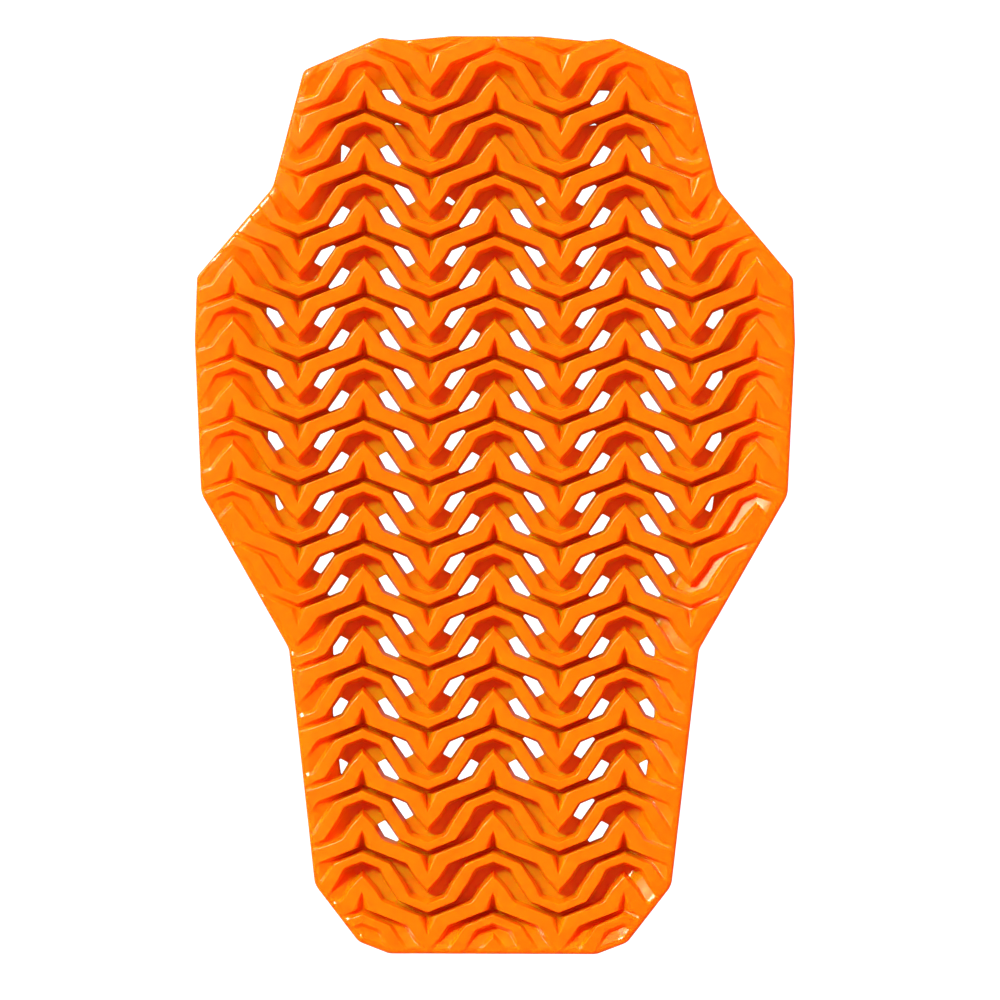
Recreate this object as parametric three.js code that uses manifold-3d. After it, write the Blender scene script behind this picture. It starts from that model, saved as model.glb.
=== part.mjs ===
import * as THREE from 'three';
import { mergeVertices } from 'three/addons/utils/BufferGeometryUtils.js';
import Module from 'manifold-3d';

// A back protector: one moulded pad of soft elastomer foam, worn inside the back of a jacket.
// Its front carries chevron ribs with deep channels between them, and vents pierce the channel floors.
// X runs across the back, Y up the back, Z out of it. The plain back of the pad lies on Z = 0,
// and the origin is the middle of that face. Lengths are in millimetres.

// Driving dimensions of the pad
const PAD_WIDTH = 288.5;
const PAD_HEIGHT = 441;
const PAD_THICKNESS = 15;
const RIM_THICKNESS = 12.5;
const RIM_ROUND = 1.2;
const FLOOR_HEIGHT = 4.3;

// Driving dimensions of the chevron pattern
const PITCH_ACROSS = 62.91;
const PITCH_UP = 29.59;
const PATTERN_RISE = 15.5;
const WALL_LEAN = 1.7;
const NOTCH_WIDTH = 6.4;
const NOTCH_LENGTH = 9;
const NOTCH_ABOVE_FLOOR = 1.2;

// How far a cutting solid runs past the face that it opens
const CUT_PAST = 1;

const NOTCH_HEIGHT = FLOOR_HEIGHT + NOTCH_ABOVE_FLOOR;

// Steps of the curve at each corner of the pad's outline, and of the room that the channels take
const CORNER_STEPS = 2;
const ROOM_CORNER_STEPS = 1;

const FOAM_COLOUR = 0xf78500;
const FOAM_ROUGHNESS = 0.45;

// Corners of the outline on one half, from the top centre round to the bottom centre.
// across: share of half the pad's width. up: share of its height, from the middle.
// radius: rounding of the corner, mm. border: width there of the border inside the outline, mm.
const OUTLINE = [
  { across: 0.147, up: 0.500, radius: 14, border: 10 },
  { across: 0.300, up: 0.495, radius: 8, border: 10 },
  { across: 0.388, up: 0.498, radius: 5, border: 10 },
  { across: 0.640, up: 0.462, radius: 5, border: 10 },
  { across: 0.742, up: 0.334, radius: 14, border: 10 },
  { across: 0.993, up: 0.237, radius: 5, border: 12 },
  { across: 1.000, up: 0.168, radius: 30, border: 12 },
  { across: 0.977, up: 0.001, radius: 12, border: 12 },
  { across: 0.683, up: -0.168, radius: 10, border: 9.5 },
  { across: 0.594, up: -0.425, radius: 10, border: 8 },
  { across: 0.448, up: -0.487, radius: 8, border: 9 },
  { across: 0.346, up: -0.500, radius: 8, border: 9 },
];

// Rise of the front face over the border.
// inward: share of the border's width, from the outline.
// rise: share of the way from the rim's thickness to the full thickness.
const BORDER_PROFILE = [
  { inward: 0.60, rise: 0.70 },
  { inward: 1.20, rise: 1.00 },
];

// Rise of the channels' floors to the front face over the border, as above.
// rise: share of the way from the floors' height to the full thickness.
const FLOOR_PROFILE = [
  { inward: 2.55, rise: -0.05 },
  { inward: 1.80, rise: 0.37 },
  { inward: 0.60, rise: 0.78 },
];

// Feet of a channel's two walls, from the peak of a chevron to its valley. A rib stands on each.
// across: share of half the pitch across, from the peak. up: share of the pitch up.
// lean: how far the wall leans back between its foot and the rib's top, share of WALL_LEAN.
const UPPER_FOOT = [
  { across: 0.000, up: 0.466, lean: 1.00 },
  { across: 0.242, up: 0.354, lean: 0.95 },
  { across: 0.556, up: -0.142, lean: 0.60 },
  { across: 1.000, up: -0.349, lean: 0.80 },
];
const LOWER_FOOT = [
  { across: 0.000, up: 0.372, lean: 0.90 },
  { across: 0.2225, up: 0.108, lean: 0.90 },
  { across: 0.333, up: -0.092, lean: 0.75 },
  { across: 1.000, up: -0.388, lean: 0.38 },
];

// A vent takes the channel's whole floor on the steep stretch. It starts at a share of the upper foot's
// second edge and ends at a share of the lower foot's third edge.
const VENT_START = 0.34;
const VENT_END = 0.283;

// A vent that would keep less than this share of itself is left out
const LEAST_VENT = 0.08;

// Every second channel is the first one turned half round about this height, a share of the pitch up,
// midway between a peak and a valley
const TURN_UP = -0.3183;

// Edge of the field in which the floors are pierced, on one half, from the top centre to the bottom
// centre. A vent that it crosses is cut short there. across and up are shares as in OUTLINE.
const VENT_FIELD = [
  { across: 0.120, up: 0.313 },
  { across: 0.136, up: 0.321 },
  { across: 0.160, up: 0.327 },
  { across: 0.310, up: 0.370 },
  { across: 0.310, up: 0.443 },
  { across: 0.420, up: 0.442 },
  { across: 0.514, up: 0.400 },
  { across: 0.520, up: 0.318 },
  { across: 0.615, up: 0.280 },
  { across: 0.680, up: 0.250 },
  { across: 0.764, up: 0.223 },
  { across: 0.757, up: 0.060 },
  { across: 0.728, up: -0.014 },
  { across: 0.537, up: -0.127 },
  { across: 0.537, up: -0.239 },
  { across: 0.510, up: -0.305 },
  { across: 0.410, up: -0.332 },
  { across: 0.405, up: -0.386 },
  { across: 0.293, up: -0.386 },
  { across: 0.230, up: -0.321 },
];

const wasm = await Module();
wasm.setup();

// A solid that can be joined and cut, from a closed three.js geometry
function toSolid(geometry) {
  const bare = geometry.clone();
  bare.deleteAttribute('normal');
  bare.deleteAttribute('uv');
  const merged = mergeVertices(bare);
  return new wasm.Manifold(new wasm.Mesh({
    numProp: 3,
    vertProperties: Float32Array.from(merged.attributes.position.array),
    triVerts: Uint32Array.from(merged.index.array),
  }));
}

// The three.js geometry of a solid
function toGeometry(solid) {
  const mesh = solid.getMesh();
  const geometry = new THREE.BufferGeometry();
  geometry.setAttribute('position', new THREE.BufferAttribute(Float32Array.from(mesh.vertProperties), 3));
  geometry.setIndex(new THREE.BufferAttribute(Uint32Array.from(mesh.triVerts), 1));
  geometry.computeVertexNormals();
  return geometry;
}

// One solid out of many
function join(solids) {
  return solids.reduce((whole, solid) => whole.add(solid));
}

// A closed geometry through rings of 2-D points, each at its height, all of one length and
// counter-clockwise as seen from above
function loft(rings) {
  const count = rings[0].points.length;
  const positions = rings.flatMap(({ points, height }) => (
    points.map((point) => new THREE.Vector3(point.x, point.y, height))
  ));
  const index = [];
  for (let here = 0; here + count < positions.length; here += 1) {
    const next = (here + 1) % count === 0 ? here + 1 - count : here + 1;
    index.push(here, next, next + count);
    index.push(here, next + count, here + count);
  }
  const top = rings.length - 1;
  for (const [a, b, c] of THREE.ShapeUtils.triangulateShape(rings[0].points, [])) {
    index.push(c, b, a);
  }
  for (const [a, b, c] of THREE.ShapeUtils.triangulateShape(rings[top].points, [])) {
    index.push(top * count + a, top * count + b, top * count + c);
  }
  const geometry = new THREE.BufferGeometry().setFromPoints(positions);
  geometry.setIndex(index);
  return geometry;
}

// An upright prism from a list of 2-D points
function prism(points, bottom, top) {
  const geometry = new THREE.ExtrudeGeometry(new THREE.Shape(points), {
    depth: top - bottom,
    bevelEnabled: false,
  });
  geometry.translate(0, 0, bottom);
  return geometry;
}

// Rows of a half table as items on both halves, counter-clockwise round the pad
function bothHalves(rows) {
  const half = (side) => rows.map((row) => ({
    ...row,
    place: new THREE.Vector2(side * row.across * PAD_WIDTH / 2, row.up * PAD_HEIGHT),
  }));
  return [...half(-1), ...half(1).reverse()];
}

// The direction in which a corner moves when the two edges that meet there move left by one unit
function mitre(before, here, after) {
  const left = (from, to) => new THREE.Vector2(from.y - to.y, to.x - from.x).normalize();
  const first = left(before, here);
  const second = left(here, after);
  return first.clone().add(second).divideScalar(1 + first.dot(second));
}

// The outline moved inwards by a share of the border's width and then by a length, as a ring of points
// with that many steps at each corner
function insetOutline(share, length, steps) {
  const corners = bothHalves(OUTLINE);
  const at = (i) => corners[(i + corners.length) % corners.length];
  const inset = corners.map((corner, i) => {
    const distance = share * corner.border + length;
    const inward = mitre(at(i - 1).place, corner.place, at(i + 1).place);
    return corner.place.clone().addScaledVector(inward, distance);
  });
  return corners.flatMap((corner, i) => {
    const before = inset[(i + inset.length - 1) % inset.length];
    const after = inset[(i + 1) % inset.length];
    const arriving = inset[i].clone().sub(before).normalize();
    const leaving = after.clone().sub(inset[i]).normalize();
    const turn = Math.atan2(arriving.cross(leaving), arriving.dot(leaving));
    const distance = share * corner.border + length;
    const radius = Math.max(corner.radius - Math.sign(turn) * distance, RIM_ROUND);
    const reach = radius * Math.tan(Math.abs(turn) / 2);
    const curve = new THREE.QuadraticBezierCurve(
      inset[i].clone().addScaledVector(arriving, -reach),
      inset[i],
      inset[i].clone().addScaledVector(leaving, reach),
    );
    return curve.getPoints(steps);
  });
}

// A solid of the pad's outline through levels, each with its inset and its height
function outlineSolid(levels, steps) {
  return toSolid(loft(levels.map(({ share, length, height }) => ({
    points: insetOutline(share, length, steps),
    height,
  }))));
}

// The pad before the relief is cut: a rounded rim, a sloping border and a flat front
function padBody() {
  return outlineSolid([
    { share: 0, length: 0, height: 0 },
    { share: 0, length: 0, height: RIM_THICKNESS - RIM_ROUND },
    { share: 0, length: RIM_ROUND, height: RIM_THICKNESS },
    ...BORDER_PROFILE.map(({ inward, rise }) => ({
      share: inward,
      length: 0,
      height: THREE.MathUtils.lerp(RIM_THICKNESS, PAD_THICKNESS, rise),
    })),
  ], CORNER_STEPS);
}

// The foot of a wall from a peak to the next valley, in millimetres from the peak
function footPath(rows) {
  return rows.map((row) => ({
    place: new THREE.Vector2(row.across * PITCH_ACROSS / 2, row.up * PITCH_UP),
    lean: row.lean * WALL_LEAN,
  }));
}

// A point of the half pitch turned half round about its middle
function turned(point) {
  return new THREE.Vector2(PITCH_ACROSS / 2, 2 * TURN_UP * PITCH_UP).sub(point);
}

// A foot turned half round. It again runs from a peak to a valley.
function turnedPath(path) {
  return path.map((foot) => ({ place: turned(foot.place), lean: foot.lean })).reverse();
}

// The vent between two feet, each running from a peak to a valley
function ventCorners(upper, lower) {
  return [
    lower[1].place,
    lower[2].place,
    lower[2].place.clone().lerp(lower[3].place, VENT_END),
    upper[2].place,
    upper[1].place.clone().lerp(upper[2].place, VENT_START),
  ];
}

// The two kinds of channel, by turns up the pad, each with the way that its notches point
function channelKinds() {
  const upper = footPath(UPPER_FOOT);
  const lower = footPath(LOWER_FOOT);
  const vent = ventCorners(upper, lower);
  return [
    { upper, lower, vent, mouth: upper.length - 1, pointing: -1 },
    { upper: turnedPath(lower), lower: turnedPath(upper), vent: vent.map(turned), mouth: 0, pointing: 1 },
  ];
}

// Where the chevrons' peaks stand across the pad, and the heights of their rows
function patternPlaces() {
  const peaksEachSide = Math.ceil(PAD_WIDTH / 2 / PITCH_ACROSS);
  const rowsEachSide = Math.ceil((PAD_HEIGHT / 2 + PATTERN_RISE) / PITCH_UP);
  const steps = (count) => Array.from({ length: 2 * count + 1 }, (_, i) => i - count);
  return {
    peaks: steps(peaksEachSide).map((step) => step * PITCH_ACROSS),
    rises: steps(rowsEachSide).map((step) => PATTERN_RISE + step * PITCH_UP),
  };
}

// A foot repeated right across the pad, from its left end to its right end
function wholeFoot(path, peaks, rise) {
  return peaks.flatMap((peak) => {
    const half = (side) => path.map((foot) => ({
      place: new THREE.Vector2(peak + side * foot.place.x, rise + foot.place.y),
      lean: foot.lean,
    }));
    return [...half(-1).reverse().slice(0, -1), ...half(1).slice(0, -1)];
  });
}

// A foot moved away from its channel by the lean of its wall.
// side is 1 for the upper foot and -1 for the lower.
function leantFoot(foot, side) {
  return foot.map(({ place, lean }, i) => {
    const before = foot[Math.max(i - 1, 0)].place;
    const after = foot[Math.min(i + 1, foot.length - 1)].place;
    const outward = i > 0 && i < foot.length - 1 ? mitre(before, place, after) : new THREE.Vector2(0, 1);
    return place.clone().addScaledVector(outward, side * lean);
  });
}

// The space of one channel right across the pad
function channelSolid(kind, peaks, rise) {
  const upper = wholeFoot(kind.upper, peaks, rise);
  const lower = wholeFoot(kind.lower, peaks, rise);
  const floor = [...lower, ...upper.toReversed()].map((foot) => foot.place);
  const opening = [...leantFoot(lower, -1), ...leantFoot(upper, 1).reverse()];
  return toSolid(loft([
    { points: floor, height: FLOOR_HEIGHT },
    { points: opening, height: PAD_THICKNESS },
    { points: opening, height: PAD_THICKNESS + CUT_PAST },
  ]));
}

// The wedge that a notch cuts into a rib, pointing up or down the pad from the channel at its mouth
function notchSolid(mouth, pointing) {
  const wallHeight = PAD_THICKNESS - NOTCH_HEIGHT;
  const grow = (wallHeight + CUT_PAST) / wallHeight;
  const top = PAD_THICKNESS + CUT_PAST;
  const geometry = new THREE.BufferGeometry().setFromPoints([
    new THREE.Vector3(mouth.x, mouth.y, NOTCH_HEIGHT),
    new THREE.Vector3(mouth.x, mouth.y + pointing * NOTCH_LENGTH * grow, top),
    new THREE.Vector3(mouth.x - pointing * NOTCH_WIDTH / 2 * grow, mouth.y, top),
    new THREE.Vector3(mouth.x + pointing * NOTCH_WIDTH / 2 * grow, mouth.y, top),
  ]);
  geometry.setIndex([1, 2, 3, 0, 2, 1, 0, 3, 2, 0, 1, 3]);
  return toSolid(geometry);
}

// All channels with their notches, and all vents, cut short where the vent field ends
function relief() {
  const { peaks, rises } = patternPlaces();
  const fieldEdge = bothHalves(VENT_FIELD).map((corner) => corner.place);
  const field = toSolid(prism(fieldEdge, -CUT_PAST, PAD_THICKNESS));
  const channels = [];
  const vents = [];
  for (const kind of channelKinds()) {
    const mouth = kind.upper[kind.mouth].place.clone().lerp(kind.lower[kind.mouth].place, 0.5);
    for (const rise of rises) {
      channels.push(channelSolid(kind, peaks, rise));
      for (const peak of peaks) {
        const place = new THREE.Vector2(peak, rise);
        channels.push(notchSolid(place.clone().add(mouth), kind.pointing));
        for (const side of [-1, 1]) {
          const corners = kind.vent.map((corner) => new THREE.Vector2(side * corner.x, corner.y).add(place));
          const whole = toSolid(prism(corners, -CUT_PAST, PAD_THICKNESS));
          const vent = whole.intersect(field);
          if (vent.volume() > LEAST_VENT * whole.volume()) {
            vents.push(vent);
          }
        }
      }
    }
  }
  return { channels: join(channels), vents: join(vents) };
}

// The space that the channels may take: its foot rises over the border, where they run out
function channelRoom() {
  const levels = FLOOR_PROFILE.map(({ inward, rise }) => ({
    share: inward,
    length: 0,
    height: THREE.MathUtils.lerp(FLOOR_HEIGHT, PAD_THICKNESS, rise),
  }));
  const last = levels[levels.length - 1];
  return outlineSolid([...levels, { ...last, height: PAD_THICKNESS + CUT_PAST }], ROOM_CORNER_STEPS);
}

// The whole pad
function protectorPad() {
  const { channels, vents } = relief();
  const solid = padBody().subtract(channels.intersect(channelRoom())).subtract(vents);
  const material = new THREE.MeshStandardMaterial({
    color: FOAM_COLOUR,
    roughness: FOAM_ROUGHNESS,
    metalness: 0,
  });
  const pad = new THREE.Mesh(toGeometry(solid), material);
  pad.name = 'protector_pad';
  return pad;
}

const protector = new THREE.Group();
protector.add(protectorPad());

export default protector;
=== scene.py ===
"""A back protector: the looks of one moulded pad of orange elastomer foam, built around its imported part.

The pad is one fine mesh that follows every crease of the relief. Its plan is worked out in millimetres:
rows of points along the walls of the channels, rings inside the outline and fans in the notches are
triangulated together, and one function of the place gives each point its height.
"""
import math

import bpy
import numpy as np
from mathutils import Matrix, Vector
from mathutils.geometry import delaunay_2d_cdt
from mathutils.kdtree import KDTree


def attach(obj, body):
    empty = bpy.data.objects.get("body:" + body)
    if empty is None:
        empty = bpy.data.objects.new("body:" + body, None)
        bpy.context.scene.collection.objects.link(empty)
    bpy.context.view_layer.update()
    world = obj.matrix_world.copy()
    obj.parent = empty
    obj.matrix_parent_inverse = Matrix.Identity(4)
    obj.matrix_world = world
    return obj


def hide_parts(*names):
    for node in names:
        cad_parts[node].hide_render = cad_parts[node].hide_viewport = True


MM = 0.001

# Driving dimensions of the pad
PAD_WIDTH = 288.5
PAD_HEIGHT = 441.0
PAD_THICKNESS = 15.0
RIM_THICKNESS = 13.2
RIM_ROUND = 1.6
FLOOR_HEIGHT = 4.3
RELIEF = PAD_THICKNESS - FLOOR_HEIGHT

# Driving dimensions of the chevron pattern
PITCH_ACROSS = 62.91
PITCH_UP = 29.59
PATTERN_RISE = 15.5
WALL_LEAN = 1.7
HALF_PITCH = PITCH_ACROSS / 2

# Rounding where a wall meets the floor and where it meets the rib's top:
# the reach along the flat and the height of wall that it takes
FOOT_REACH = 0.25
FOOT_RISE = 0.5
EDGE_REACH = 0.4
EDGE_DROP = 0.6
FOOT_STEPS = (0.0, 0.5, 1.0)
EDGE_STEPS = (0.0, 0.35, 0.67, 1.0)

# Rounding of a channel's corners in plan: the reach along each edge, and its steps
CORNER_REACH = 1.0
CORNER_STEPS = 3

# A notch in a rib: its length, half its width at the mouth, at the rib's top and at its floor,
# how sharply its sides hollow down to the floor, the lines of points along and across it,
# and how far inside the outline its mouth must lie, a share of the border's width
NOTCH_LENGTH = 9.6
NOTCH_HALF_WIDTH = 5.2
NOTCH_FLOOR_HALF = 1.0
NOTCH_HOLLOW = 3.6
NOTCH_FANS = (0.0, 0.25, 0.5, 0.75, 1.0)
NOTCH_STEPS = 4
NOTCH_INWARD = 0.15

# A vent: the rounding of its corners and its steps, the lip by which its wall stands back from its
# edges, the middle of the lip's rounding as shares of it (aside and down), and the least share of
# a whole vent that is pierced where the field's edge cuts it
VENT_ROUND = 0.8
VENT_STEPS = 3
VENT_LIP = 0.3
LIP_ASIDE = 0.7
LIP_DOWN = 0.1
LEAST_VENT = 0.08

# Corners of the outline on one half, from the top centre round to the bottom centre.
# across: share of half the width. up: share of the height, from the middle.
# radius: rounding of the corner, mm. border: width there over which the channels fade, mm.
OUTLINE = [
    dict(across=0.147, up=0.500, radius=14, border=8),
    dict(across=0.300, up=0.495, radius=8, border=8),
    dict(across=0.388, up=0.498, radius=5, border=8),
    dict(across=0.640, up=0.462, radius=5, border=9),
    dict(across=0.742, up=0.334, radius=14, border=10),
    dict(across=0.993, up=0.237, radius=5, border=12),
    dict(across=1.000, up=0.168, radius=30, border=12),
    dict(across=0.977, up=0.001, radius=12, border=12),
    dict(across=0.683, up=-0.168, radius=10, border=9.5),
    dict(across=0.594, up=-0.425, radius=10, border=7.5),
    dict(across=0.448, up=-0.487, radius=8, border=7.5),
    dict(across=0.346, up=-0.500, radius=8, border=7.5),
]
OUTLINE_STEPS = 5

# Feet of a channel's two walls, from the peak of a chevron to its valley.
# across: share of half the pitch across, from the peak. up: share of the pitch up.
# lean: how far the wall leans back between its foot and the rib's top, share of WALL_LEAN.
UPPER_FOOT = [
    dict(across=0.000, up=0.466, lean=1.00),
    dict(across=0.242, up=0.372, lean=0.95),
    dict(across=0.345, up=0.178, lean=0.80),
    dict(across=0.556, up=-0.142, lean=0.60),
    dict(across=1.000, up=-0.349, lean=0.80),
]
LOWER_FOOT = [
    dict(across=0.000, up=0.372, lean=0.90),
    dict(across=0.2225, up=0.108, lean=0.90),
    dict(across=0.333, up=-0.092, lean=0.75),
    dict(across=1.000, up=-0.388, lean=0.38),
]

# Share of the lower foot's last stretch that a vent follows
VENT_END = 0.283

# Every second channel is the first one turned half round about this height, a share of the pitch up,
# midway between a peak and a valley
TURN_UP = -0.3183

# Edge of the field in which the floors are pierced, on one half. A vent that it crosses is cut short.
VENT_FIELD = [
    dict(across=0.120, up=0.313),
    dict(across=0.136, up=0.321),
    dict(across=0.160, up=0.327),
    dict(across=0.310, up=0.370),
    dict(across=0.310, up=0.443),
    dict(across=0.420, up=0.442),
    dict(across=0.514, up=0.400),
    dict(across=0.520, up=0.318),
    dict(across=0.615, up=0.280),
    dict(across=0.680, up=0.250),
    dict(across=0.764, up=0.223),
    dict(across=0.757, up=0.060),
    dict(across=0.728, up=-0.014),
    dict(across=0.537, up=-0.127),
    dict(across=0.537, up=-0.239),
    dict(across=0.510, up=-0.305),
    dict(across=0.410, up=-0.332),
    dict(across=0.405, up=-0.386),
    dict(across=0.293, up=-0.386),
    dict(across=0.230, up=-0.321),
]

# Share of the border's width at which the ribs reach their full height
TOP_REACH = 2.20

# Rise of the channels' floors to the ribs' tops over the border.
# inward: share of the border's width, from the outline.
# rise: share of the way from the floors' height to the full thickness.
FLOOR_PROFILE = [
    dict(inward=0.40, rise=0.84),
    dict(inward=0.65, rise=0.76),
    dict(inward=1.00, rise=0.64),
    dict(inward=1.40, rise=0.51),
    dict(inward=1.75, rise=0.38),
    dict(inward=2.00, rise=0.26),
    dict(inward=2.30, rise=0.09),
    dict(inward=2.45, rise=0.03),
    dict(inward=2.60, rise=0.00),
]

# Depth to which a channel can still be seen where its floor has risen
FAINT_STEP = 0.5

# Rings that the mesh follows: shares of the rounding at the rim, then shares of the border
RIM_STEPS = (0.0, 0.1, 0.4, 1.0)
BORDER_STEPS = (0.3, *(row["inward"] for row in FLOOR_PROFILE))

# Longest stretch between two points of a row where the floors rise, mm
BORDER_FINENESS = 2.5

# Least distance between the two points from which a ring's direction is taken, mm
LEAST_CHORD = 0.1

# What counts as one place: in plan when lines are joined, and along one row of points
JOIN_NEARNESS = 1e-4
ROW_NEARNESS = 1e-6

# Corners of a vent nearer than this, or turning less than this (sine), are left out,
# and a corner's rounding takes at most this share of an edge
LEAST_EDGE = 0.4
LEAST_TURN = 0.03
MOST_OF_EDGE = 0.45

# Edges that turn more than this stay sharp, degrees
SHARP_ANGLE = 60

# The camera and the floor, in metres. The camera stands a little off the pad's middle and is turned
# by a fifth of a degree, as in the photograph. Its sensor is in millimetres.
CAMERA_DISTANCE = 3.0
SENSOR_WIDTH = 36
FARTHEST_SEEN = 20
FRAME_WIDTH = 0.480
CAMERA_OVER = (0.0027, -0.0024)
CAMERA_ROLL = 0.19
FLOOR_SIZE = 6.0
FLOOR_DROP = 0.0002

# Suns, with their angles in degrees, and the even fill from all round
SUNS = [
    dict(name="key", azimuth=137, elevation=54, spread=10, strength=3.3, colour=(0.55, 1, 1)),
    dict(name="low_left", azimuth=135, elevation=32, spread=40, strength=1.2, colour=(1, 1, 1)),
]
FILL_STRENGTH = 1.0
FILL_COLOUR = (1, 0.14, 0.11, 1)


def both_halves(rows):
    """Rows of a half table with their places on both halves, counter-clockwise round the pad."""
    def half(side):
        return [dict(row, place=np.array([side * row["across"] * PAD_WIDTH / 2, row["up"] * PAD_HEIGHT]))
                for row in rows]
    return half(-1) + half(1)[::-1]


def unit(vector):
    return vector / np.linalg.norm(vector)


def left_of(vector):
    """The direction to the left of a vector."""
    return np.array([-vector[1], vector[0]])


def mitre(before, here, after):
    """The way that a corner moves when the two edges that meet there move left by one unit."""
    first = left_of(unit(here - before))
    second = left_of(unit(after - here))
    return (first + second) / (1 + first @ second)


def bezier(start, middle, end, share):
    """A point of a quadratic curve."""
    return (1 - share) ** 2 * start + 2 * share * (1 - share) * middle + share ** 2 * end


def outline_ring(share, length):
    """The outline moved inwards by a share of the border's width and then by a length."""
    corners = both_halves(OUTLINE)
    count = len(corners)
    moves = [share * corner["border"] + length for corner in corners]
    places = [corner["place"] for corner in corners]
    inset = [
        places[i] + moves[i] * mitre(places[i - 1], places[i], places[(i + 1) % count]) for i in range(count)
    ]
    ring = []
    for i, corner in enumerate(corners):
        arriving = unit(inset[i] - inset[i - 1])
        leaving = unit(inset[(i + 1) % count] - inset[i])
        turn = math.atan2(arriving[0] * leaving[1] - arriving[1] * leaving[0], arriving @ leaving)
        radius = max(corner["radius"] - math.copysign(moves[i], turn), RIM_ROUND)
        reach = radius * math.tan(abs(turn) / 2)
        ring += [
            bezier(inset[i] - reach * arriving, inset[i], inset[i] + reach * leaving, step / OUTLINE_STEPS)
            for step in range(OUTLINE_STEPS + 1)
        ]
    return np.array(ring)


def border_widths():
    """The border's width at each point of the outline's ring."""
    return np.repeat([corner["border"] for corner in both_halves(OUTLINE)], OUTLINE_STEPS + 1).astype(float)


def edge_distance(points):
    """How far each point lies from the outline, and the border's width at the nearest place on it."""
    ring = outline_ring(0, 0)
    widths = border_widths()
    nearest = np.full(len(points), np.inf)
    width = np.zeros(len(points))
    for i in range(len(ring)):
        start, along = ring[i - 1], ring[i] - ring[i - 1]
        share = np.clip((points - start) @ along / (along @ along), 0, 1)
        distance = np.linalg.norm(points - start - share[:, None] * along, axis=1)
        closer = distance < nearest
        nearest = np.where(closer, distance, nearest)
        width = np.where(closer, widths[i - 1] + share * (widths[i] - widths[i - 1]), width)
    return nearest, width


def inside(points, polygon):
    """Which points lie inside a polygon."""
    x, y = points[:, 0], points[:, 1]
    odd = np.zeros(len(points), bool)
    for (x0, y0), (x1, y1) in zip(np.roll(polygon, 1, axis=0), polygon):
        crosses = (y0 > y) != (y1 > y)
        if y0 != y1:
            odd ^= crosses & (x < x0 + (y - y0) * (x1 - x0) / (y1 - y0))
    return odd


def foot_path(rows):
    """The foot of a wall from a peak to the next valley, its inner corners rounded: places and leans."""
    corners = np.array([[row["across"] * HALF_PITCH, row["up"] * PITCH_UP] for row in rows])
    leans = np.array([row["lean"] * WALL_LEAN for row in rows])
    places, lean = [corners[0]], [leans[0]]
    for i in range(1, len(corners) - 1):
        start = corners[i] + CORNER_REACH * unit(corners[i - 1] - corners[i])
        end = corners[i] + CORNER_REACH * unit(corners[i + 1] - corners[i])
        for step in range(CORNER_STEPS + 1):
            places.append(bezier(start, corners[i], end, step / CORNER_STEPS))
            lean.append(leans[i])
    return np.array(places + [corners[-1]]), np.array(lean + [leans[-1]])


def turned(points):
    """Points of the half pitch turned half round about its middle."""
    return np.array([HALF_PITCH, 2 * TURN_UP * PITCH_UP]) - points


def outward_moves(places):
    """The mitre at each point of a foot, upwards. The foot is mirrored at its peak and its valley."""
    mirrored_start = places[1] * [-1, 1]
    mirrored_end = np.array([2 * HALF_PITCH - places[-2][0], places[-2][1]])
    chain = np.vstack([mirrored_start, places, mirrored_end])
    return np.array([mitre(chain[i - 1], chain[i], chain[i + 1]) for i in range(1, len(chain) - 1)])


def wall_rows(places, leans, side):
    """Rows of points from the floor up a wall to the flat of the rib, each with its share of the height."""
    moves = side * outward_moves(places)
    foot = FOOT_RISE / RELIEF
    edge = EDGE_DROP / RELIEF
    rows = []
    for step in FOOT_STEPS:
        offset = bezier(-FOOT_REACH, 0, foot * leans, step)
        rows.append((places + moves * offset[:, None], foot * step ** 2))
    for step in EDGE_STEPS:
        offset = bezier((1 - edge) * leans, leans, leans + EDGE_REACH, step)
        rows.append((places + moves * offset[:, None], 1 - edge * (1 - step) ** 2))
    return rows


def pattern_rows():
    """All rows of one repeat, from the bottom up: the turned channel's, then the first channel's."""
    upper, upper_lean = foot_path(UPPER_FOOT)
    lower, lower_lean = foot_path(LOWER_FOOT)
    turned_upper, turned_lower = turned(lower)[::-1], turned(upper)[::-1]
    return (
        wall_rows(turned_lower, upper_lean[::-1], -1)[::-1]
        + wall_rows(turned_upper, lower_lean[::-1], 1)
        + wall_rows(lower, lower_lean, -1)[::-1]
        + wall_rows(upper, upper_lean, 1)
    )


def folded(points):
    """Places folded into one half pitch: distance from the nearest peak, and height above the base."""
    across = points[:, 0] - PITCH_ACROSS * np.round(points[:, 0] / PITCH_ACROSS)
    return np.abs(across), points[:, 1] - PATTERN_RISE


def channel_share(points, rows):
    """Height of the relief before the notches, from 0 on a floor to 1 on a rib."""
    across, up = folded(points)
    levels = np.array([np.interp(across, row[:, 0], row[:, 1]) for row, _ in rows])
    shares = [share for _, share in rows]
    up = (up - levels[0]) % PITCH_UP + levels[0]
    result = np.ones(len(points))
    for i in range(len(rows) - 1):
        low, high = levels[i], levels[i + 1]
        between = (up >= low) & (up <= high)
        part = np.clip((up - low) / np.maximum(high - low, 1e-9), 0, 1)
        result = np.where(between, shares[i] + part * (shares[i + 1] - shares[i]), result)
    return result


def groove_middle():
    """The middle line of the turned channel's floor from the peak outwards, where a notch has its mouth."""
    upper, lower = foot_path(UPPER_FOOT)[0], foot_path(LOWER_FOOT)[0]
    low, high = turned(upper)[::-1], turned(lower)[::-1]
    return low[:, 0], (low[:, 1] + np.interp(low[:, 0], high[:, 0], high[:, 1])) / 2


def notch_half_widths(depth):
    """Half widths of a notch at a length from its apex: at the rib's top and at its floor."""
    return NOTCH_HALF_WIDTH * depth / NOTCH_LENGTH, NOTCH_FLOOR_HALF * depth / NOTCH_LENGTH


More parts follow.
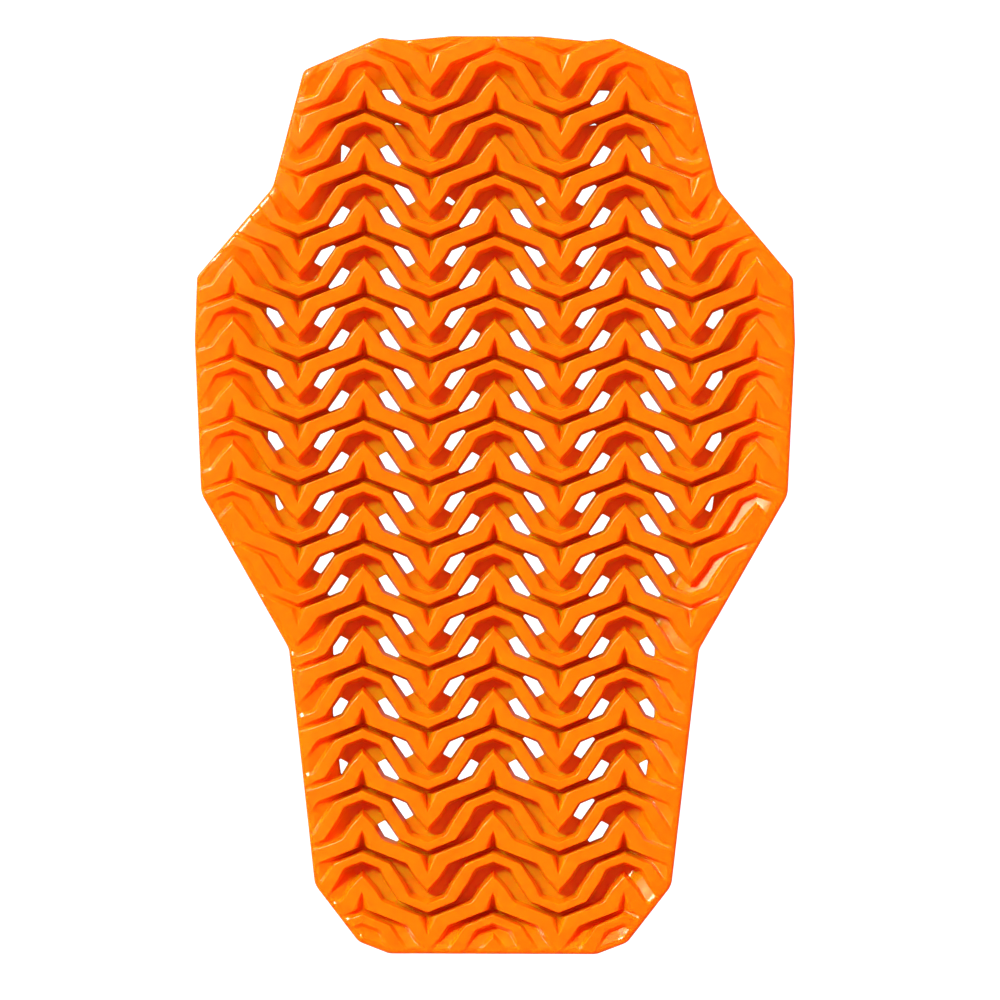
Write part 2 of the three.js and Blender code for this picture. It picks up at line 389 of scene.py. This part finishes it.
def notch_share(points):
    """Height of the relief in the notches: they point up from a peak and down from a valley."""
    across, up = folded(points)
    result = np.ones(len(points))
    line, middle = groove_middle()
    for aside, along in ((across, up), (HALF_PITCH - across, 2 * TURN_UP * PITCH_UP - up)):
        above = (along - middle[0] + PITCH_UP / 2) % PITCH_UP - PITCH_UP / 2
        depth = NOTCH_LENGTH - above
        wide, narrow = notch_half_widths(np.maximum(depth, 1e-6))
        out = np.clip((aside - narrow) / (wide - narrow), 0, 1)
        floor = np.clip(1 - depth / NOTCH_LENGTH, 0, 1)
        share = 1 - (1 - floor) * (1 - out) ** NOTCH_HOLLOW
        past_groove = above > np.interp(aside, line, middle) - middle[0]
        result = np.where((depth > 0) & past_groove, np.minimum(result, share), result)
    return result


def heights(points, rows):
    """Height of the front face at each point."""
    distance, border = edge_distance(points)
    share = np.minimum(channel_share(points, rows), notch_share(points))
    inward = distance / border
    rise = np.sin(np.pi / 2 * np.clip(inward / TOP_REACH, 0, 1))
    top = RIM_THICKNESS + (PAD_THICKNESS - RIM_THICKNESS) * rise
    inwards = [row["inward"] for row in FLOOR_PROFILE]
    rises = [row["rise"] for row in FLOOR_PROFILE]
    floor_rise = np.interp(inward, inwards, rises)
    floor = np.minimum(FLOOR_HEIGHT + RELIEF * floor_rise, top - FAINT_STEP)
    height = floor + (top - floor) * share
    into = np.clip(RIM_ROUND - distance, 0, RIM_ROUND)
    return height - (RIM_ROUND - np.sqrt(RIM_ROUND ** 2 - into ** 2))


def vent_corners():
    """Corners of the two kinds of vent on the right of a peak, counter-clockwise."""
    def place(row):
        return np.array([row["across"] * HALF_PITCH, row["up"] * PITCH_UP])
    low, mid, end = (place(row) for row in LOWER_FOOT[1:4])
    first = np.array([low, mid, mid + VENT_END * (end - mid), place(UPPER_FOOT[3]), place(UPPER_FOOT[2])])
    return [first, turned(first)]


def area(polygon):
    x, y = polygon[:, 0], polygon[:, 1]
    return (x * np.roll(y, -1) - y * np.roll(x, -1)).sum() / 2


def clipped(polygon, clipper):
    """A polygon cut to the inside of a convex counter-clockwise one."""
    result = list(polygon)
    for start, end in zip(clipper, np.roll(clipper, -1, axis=0)):
        inward = left_of(end - start)
        side = [(point - start) @ inward for point in result]
        kept = []
        for i, point in enumerate(result):
            if (side[i] >= 0) != (side[i - 1] >= 0):
                part = side[i - 1] / (side[i - 1] - side[i])
                kept.append(result[i - 1] + part * (point - result[i - 1]))
            if side[i] >= 0:
                kept.append(point)
        result = kept
        if not result:
            break
    return np.array(result)


def rounded_ring(polygon, offset, radius):
    """A convex counter-clockwise polygon grown by an offset, its corners rounded."""
    count = len(polygon)
    grown = [
        polygon[i] - offset * mitre(polygon[i - 1], polygon[i], polygon[(i + 1) % count])
        for i in range(count)
    ]
    ring = []
    for i in range(count):
        before, after = grown[i - 1] - grown[i], grown[(i + 1) % count] - grown[i]
        half_angle = math.acos(np.clip(unit(before) @ unit(after), -1, 1)) / 2
        shorter = min(np.linalg.norm(before), np.linalg.norm(after))
        reach = min(radius / math.tan(half_angle), MOST_OF_EDGE * shorter)
        start, end = grown[i] + reach * unit(before), grown[i] + reach * unit(after)
        ring += [bezier(start, grown[i], end, step / VENT_STEPS) for step in range(VENT_STEPS + 1)]
    return np.array(ring)


def tidy_polygon(polygon):
    """A convex polygon without the corners that lie nearly on top of each other or nearly in line."""
    apart = [
        here
        for before, here in zip(np.roll(polygon, 1, axis=0), polygon)
        if np.linalg.norm(here - before) > LEAST_EDGE
    ]
    count = len(apart)
    turns = [
        left_of(unit(apart[i] - apart[i - 1])) @ unit(apart[(i + 1) % count] - apart[i])
        for i in range(count)
    ]
    return np.array([corner for corner, turn in zip(apart, turns) if turn > LEAST_TURN])


def pattern_places():
    """Where the chevrons' peaks stand across the pad, and the heights of their rows."""
    peaks_each_side = math.ceil(PAD_WIDTH / 2 / PITCH_ACROSS)
    rows_each_side = math.ceil((PAD_HEIGHT / 2 + PATTERN_RISE) / PITCH_UP) + 1
    peaks = [step * PITCH_ACROSS for step in range(-peaks_each_side, peaks_each_side + 1)]
    rises = [PATTERN_RISE + step * PITCH_UP for step in range(-rows_each_side, rows_each_side + 1)]
    return peaks, rises


def vents():
    """The plan of every vent, cut short where the vent field ends."""
    field = np.array([corner["place"] for corner in both_halves(VENT_FIELD)])
    peaks, rises = pattern_places()
    found = []
    for corners in vent_corners():
        for rise in rises:
            for peak in peaks:
                for side in (-1, 1):
                    whole = corners * [side, 1] + [peak, rise]
                    if area(whole) < 0:
                        whole = whole[::-1]
                    vent = clipped(field, whole)
                    if len(vent) > 2 and abs(area(vent)) > LEAST_VENT * area(whole):
                        vent = vent if area(vent) > 0 else vent[::-1]
                        found.append(tidy_polygon(vent))
    return found


class Plan:
    """Points and lines in plan that the mesh has to follow, and the faces that bound it."""

    def __init__(self):
        self.points = []
        self.edges = []
        self.faces = []

    def line(self, points, closed=False):
        first = len(self.points)
        self.points += [Vector(point) for point in points]
        last = len(self.points) - 1
        self.edges += [(i, i + 1) for i in range(first, last)]
        if closed:
            self.edges.append((last, first))

    def face(self, ring):
        first = len(self.points)
        self.points += [Vector(point) for point in ring]
        self.faces.append(list(range(first, len(self.points))))

    def triangulated(self):
        """Places and triangles over all of the plan, and the plan's faces in which each triangle lies."""
        places, _, triangles, _, _, sources = delaunay_2d_cdt(
            self.points, self.edges, self.faces, 0, JOIN_NEARNESS
        )
        return places, triangles, sources

    def triangles(self):
        """Vertices and triangles inside the first face and outside all others."""
        places, faces, sources = self.triangulated()
        kept = [face for face, source in zip(faces, sources) if list(source) == [0]]
        used = sorted({i for face in kept for i in face})
        number = {old: new for new, old in enumerate(used)}
        points = np.array([places[i] for i in used])
        return points, [[number[i] for i in face] for face in kept]


def divided(line, fine):
    """A line with more points on the stretches that touch fine ground."""
    result = [line[0]]
    for i in range(1, len(line)):
        steps = 1
        if fine[i - 1] or fine[i]:
            steps = max(1, math.ceil(np.linalg.norm(line[i] - line[i - 1]) / BORDER_FINENESS))
        result += [line[i - 1] + (line[i] - line[i - 1]) * step / steps for step in range(1, steps + 1)]
    return result


def add_rows(plan, rows):
    """Every row of the pattern, right across the pad, where it lies inside the outline."""
    outline = outline_ring(0, 0)
    peaks, rises = pattern_places()
    for row, _ in rows:
        mirrored = (row * [-1, 1])[::-1]
        whole = np.vstack([np.vstack([mirrored, row[1:]]) + [peak, 0] for peak in peaks])
        keep = np.ones(len(whole), bool)
        keep[1:] = np.linalg.norm(np.diff(whole, axis=0), axis=1) > ROW_NEARNESS
        whole = whole[keep]
        for rise in rises:
            line = whole + [0, rise]
            within = inside(line, outline)
            if not within.any():
                continue
            first = max(np.argmax(within) - 1, 0)
            last = len(within) - np.argmax(within[::-1])
            line = line[first:last + 1]
            distance, border = edge_distance(line)
            plan.line(divided(line, distance < FLOOR_PROFILE[-1]["inward"] * border))


def add_notches(plan):
    """The fans of lines in every notch, from its apex to the middle of the groove at its mouth."""
    line, middle = groove_middle()
    slope = (middle[0] - np.interp(NOTCH_HALF_WIDTH, line, middle)) / NOTCH_HALF_WIDTH
    lines = []
    for fan in NOTCH_FANS:
        wide, narrow = notch_half_widths(1.0)
        spread = narrow + fan * (wide - narrow)
        length = NOTCH_LENGTH / (1 - slope * spread)
        for side in (-1, 1):
            lines.append(np.array([
                [side * spread * length * step / NOTCH_STEPS, NOTCH_LENGTH - length * step / NOTCH_STEPS]
                for step in range(NOTCH_STEPS + 1)
            ]))
    outline = outline_ring(NOTCH_INWARD, 0)
    peaks, rises = pattern_places()
    for rise in rises:
        for peak in peaks:
            for mouth, way in (
                (np.array([peak, rise + middle[0]]), 1),
                (np.array([peak + HALF_PITCH, rise + 2 * TURN_UP * PITCH_UP - middle[0]]), -1),
            ):
                if inside(mouth[None, :], outline)[0]:
                    for fan_line in lines:
                        plan.line(mouth + way * fan_line)


def boundary_loops(triangles):
    """The loops of edges that only one triangle uses, each in the triangles' own direction."""
    edges = {}
    for a, b, c in triangles:
        for edge in ((a, b), (b, c), (c, a)):
            edges[edge] = True
    following = {a: b for a, b in edges if (b, a) not in edges}
    loops = []
    while following:
        start, here = following.popitem()
        loop = [start]
        while here != start:
            loop.append(here)
            here = following.pop(here)
        loops.append(loop)
    return loops


def shifted(ring, distance):
    """A closed ring moved to its left, square to the line between the points on either side."""
    count = len(ring)
    moved = []
    for i in range(count):
        reach = 1
        while np.linalg.norm(ring[(i + reach) % count] - ring[i - reach]) < LEAST_CHORD:
            reach += 1
        moved.append(ring[i] + distance * left_of(unit(ring[(i + reach) % count] - ring[i - reach])))
    return np.array(moved)


class Body:
    """The pad's vertices and faces, in millimetres."""

    def __init__(self, points, heights_of_points, triangles):
        self.vertices = [(x, y, z) for (x, y), z in zip(points, heights_of_points)]
        self.faces = [list(face) for face in triangles]

    def ring(self, points, height):
        first = len(self.vertices)
        levels = np.broadcast_to(height, len(points))
        self.vertices += [(x, y, z) for (x, y), z in zip(points, levels)]
        return list(range(first, len(self.vertices)))

    def band(self, upper, lower):
        """Quads from a ring down to the next one, where the ring runs as its faces' own edge does."""
        count = len(upper)
        for i in range(count):
            after = (i + 1) % count
            self.faces.append([upper[after], upper[i], lower[i], lower[after]])


def pad_mesh():
    """The pad but for its flat back, and the rings at which the back begins, the outline's first."""
    rows = pattern_rows()
    plan = Plan()
    plan.face(outline_ring(0, 0))
    for vent in vents():
        plan.face(rounded_ring(vent, VENT_LIP, VENT_ROUND + VENT_LIP))
    for length in RIM_STEPS[1:]:
        plan.line(outline_ring(0, length * RIM_ROUND), closed=True)
    for share in BORDER_STEPS:
        plan.line(outline_ring(share, 0), closed=True)
    add_rows(plan, rows)
    add_notches(plan)
    points, triangles = plan.triangles()
    body = Body(points, heights(points, rows), triangles)

    back_rings = []
    for loop in sorted(boundary_loops(triangles), key=len, reverse=True):
        ring = points[loop]
        if area(ring) > 0:
            steps = [(ring, 0)]
        else:
            top = np.array([body.vertices[i][2] for i in loop])
            rounding = np.minimum(top, FLOOR_HEIGHT) - LIP_DOWN * VENT_LIP
            steps = [
                (shifted(ring, -LIP_ASIDE * VENT_LIP), rounding),
                (shifted(ring, -VENT_LIP), FLOOR_HEIGHT - VENT_LIP),
                (shifted(ring, -VENT_LIP), VENT_LIP),
                (ring, 0),
            ]
        upper = loop
        for place, height in steps:
            lower = body.ring(place, height)
            body.band(upper, lower)
            upper = lower
        back_rings.append(upper)
    return body, back_rings


def close_back(body, rings):
    """The flat back: all to the left of the lowest rings, which run as the front's own edges do."""
    plan = Plan()
    for ring in rings:
        plan.line([body.vertices[i][:2] for i in ring], closed=True)
    places, faces, _ = plan.triangulated()
    tree = KDTree(len(plan.points))
    for ring in rings:
        for i in ring:
            tree.insert((*body.vertices[i][:2], 0), i)
    tree.balance()
    numbers = [tree.find((*place, 0))[1] for place in places]
    faces = [[numbers[i] for i in face] for face in faces]
    rims = {(ring[i - 1], ring[i]) for ring in rings for i in range(len(ring))}
    face_at = {}
    for number, (a, b, c) in enumerate(faces):
        for edge in ((a, b), (b, c), (c, a)):
            face_at[edge] = number
    waiting = [face_at[edge] for edge in rims if edge in face_at]
    kept = set()
    while waiting:
        number = waiting.pop()
        if number not in kept:
            kept.add(number)
            a, b, c = faces[number]
            for start, end in ((a, b), (b, c), (c, a)):
                if (start, end) not in rims and (end, start) in face_at:
                    waiting.append(face_at[end, start])
    body.faces += [faces[number][::-1] for number in sorted(kept)]


def foam_material():
    """Orange moulded foam with a closed, faintly grained skin."""
    material = bpy.data.materials.new("orange_foam")
    material.use_nodes = True
    nodes, links = material.node_tree.nodes, material.node_tree.links
    shader = nodes["Principled BSDF"]
    shader.inputs["Roughness"].default_value = 0.2
    shader.inputs["Specular IOR Level"].default_value = 0.4
    shader.inputs["Specular Tint"].default_value = (1.0, 0.9, 0.7, 1)
    shader.inputs["Subsurface Weight"].default_value = 1.0
    shader.inputs["Subsurface Radius"].default_value = (1.0, 0.055, 0.01)
    shader.inputs["Subsurface Scale"].default_value = 0.011
    place = nodes.new("ShaderNodeTexCoord")
    mottle = nodes.new("ShaderNodeTexNoise")
    mottle.inputs["Scale"].default_value = 60
    mottle.inputs["Detail"].default_value = 4
    links.new(place.outputs["Object"], mottle.inputs["Vector"])
    tint = nodes.new("ShaderNodeValToRGB")
    tint.color_ramp.elements[0].position = 0.35
    tint.color_ramp.elements[0].color = (0.86, 0.236, 0.0005, 1)
    tint.color_ramp.elements[1].position = 0.65
    tint.color_ramp.elements[1].color = (0.88, 0.254, 0.0005, 1)
    links.new(mottle.outputs["Fac"], tint.inputs["Fac"])
    links.new(tint.outputs["Color"], shader.inputs["Base Color"])
    grain = nodes.new("ShaderNodeTexNoise")
    grain.inputs["Scale"].default_value = 1400
    grain.inputs["Detail"].default_value = 3
    links.new(place.outputs["Object"], grain.inputs["Vector"])
    bump = nodes.new("ShaderNodeBump")
    bump.inputs["Strength"].default_value = 0.12
    bump.inputs["Distance"].default_value = 0.0002
    links.new(grain.outputs["Fac"], bump.inputs["Height"])
    links.new(bump.outputs["Normal"], shader.inputs["Normal"])
    return material


def make_pad():
    """The visible pad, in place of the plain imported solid."""
    body, rings = pad_mesh()
    close_back(body, rings)
    mesh = bpy.data.meshes.new("foam_pad")
    mesh.from_pydata([(x * MM, y * MM, z * MM) for x, y, z in body.vertices], [], body.faces)
    mesh.validate()
    mesh.shade_smooth()
    mesh.set_sharp_from_angle(angle=math.radians(SHARP_ANGLE))
    mesh.materials.append(foam_material())
    pad = bpy.data.objects.new("foam_pad", mesh)
    bpy.context.scene.collection.objects.link(pad)
    normals = pad.modifiers.new("even_normals", "WEIGHTED_NORMAL")
    normals.keep_sharp = True
    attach(pad, "root")
    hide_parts("protector_pad")


def make_camera():
    """Straight above the pad, with a long lens, as the photograph was taken."""
    lens = bpy.data.cameras.new("camera")
    lens.sensor_width = SENSOR_WIDTH
    lens.lens = SENSOR_WIDTH * CAMERA_DISTANCE / FRAME_WIDTH
    lens.clip_end = FARTHEST_SEEN
    camera = bpy.data.objects.new("camera", lens)
    camera.location = (CAMERA_OVER[0], CAMERA_OVER[1], CAMERA_DISTANCE + PAD_THICKNESS * MM)
    camera.rotation_euler = (0, 0, math.radians(CAMERA_ROLL))
    bpy.context.scene.collection.objects.link(camera)
    bpy.context.scene.camera = camera


def make_floor():
    """A plain white floor under the pad."""
    material = bpy.data.materials.new("white_floor")
    material.use_nodes = True
    nodes, links = material.node_tree.nodes, material.node_tree.links
    shader = nodes["Principled BSDF"]
    shader.inputs["Base Color"].default_value = (0.2, 0.2, 0.2, 1)
    shader.inputs["Roughness"].default_value = 0.9
    white = nodes.new("ShaderNodeEmission")
    white.inputs["Strength"].default_value = 1.2
    path = nodes.new("ShaderNodeLightPath")
    mix = nodes.new("ShaderNodeMixShader")
    links.new(path.outputs["Is Camera Ray"], mix.inputs["Fac"])
    links.new(shader.outputs["BSDF"], mix.inputs[1])
    links.new(white.outputs["Emission"], mix.inputs[2])
    links.new(mix.outputs["Shader"], nodes["Material Output"].inputs["Surface"])
    half = FLOOR_SIZE / 2
    corners = [(-half, -half, 0), (half, -half, 0), (half, half, 0), (-half, half, 0)]
    mesh = bpy.data.meshes.new("floor")
    mesh.from_pydata(corners, [], [(0, 1, 2, 3)])
    mesh.materials.append(material)
    floor = bpy.data.objects.new("floor", mesh)
    floor.location = (0, 0, -FLOOR_DROP)
    bpy.context.scene.collection.objects.link(floor)


def make_sun(name, azimuth, elevation, spread, strength, colour):
    """A far, even light. Its azimuth is counter-clockwise from the pad's right, in degrees as all angles."""
    lamp = bpy.data.lights.new(name, "SUN")
    lamp.energy = strength
    lamp.angle = math.radians(spread)
    lamp.color = colour
    sun = bpy.data.objects.new(name, lamp)
    turn, rise = math.radians(azimuth), math.radians(elevation)
    way = Vector((math.cos(turn) * math.cos(rise), math.sin(turn) * math.cos(rise), math.sin(rise)))
    sun.rotation_euler = way.to_track_quat("Z", "Y").to_euler()
    bpy.context.scene.collection.objects.link(sun)


def make_light():
    """A soft studio light from the upper left, a weak one low down and an even warm fill."""
    for sun in SUNS:
        make_sun(**sun)
    world = bpy.data.worlds.new("studio")
    world.use_nodes = True
    world.node_tree.nodes["Background"].inputs["Color"].default_value = FILL_COLOUR
    world.node_tree.nodes["Background"].inputs["Strength"].default_value = FILL_STRENGTH
    bpy.context.scene.world = world


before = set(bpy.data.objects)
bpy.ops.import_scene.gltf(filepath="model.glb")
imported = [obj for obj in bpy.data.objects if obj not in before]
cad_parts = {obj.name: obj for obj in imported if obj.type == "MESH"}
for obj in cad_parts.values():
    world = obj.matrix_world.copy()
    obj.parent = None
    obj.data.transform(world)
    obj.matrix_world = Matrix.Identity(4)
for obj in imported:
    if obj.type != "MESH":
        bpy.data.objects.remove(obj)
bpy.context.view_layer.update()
make_camera()
make_floor()
make_light()
make_pad()
bpy.context.scene.view_settings.view_transform = "Standard"
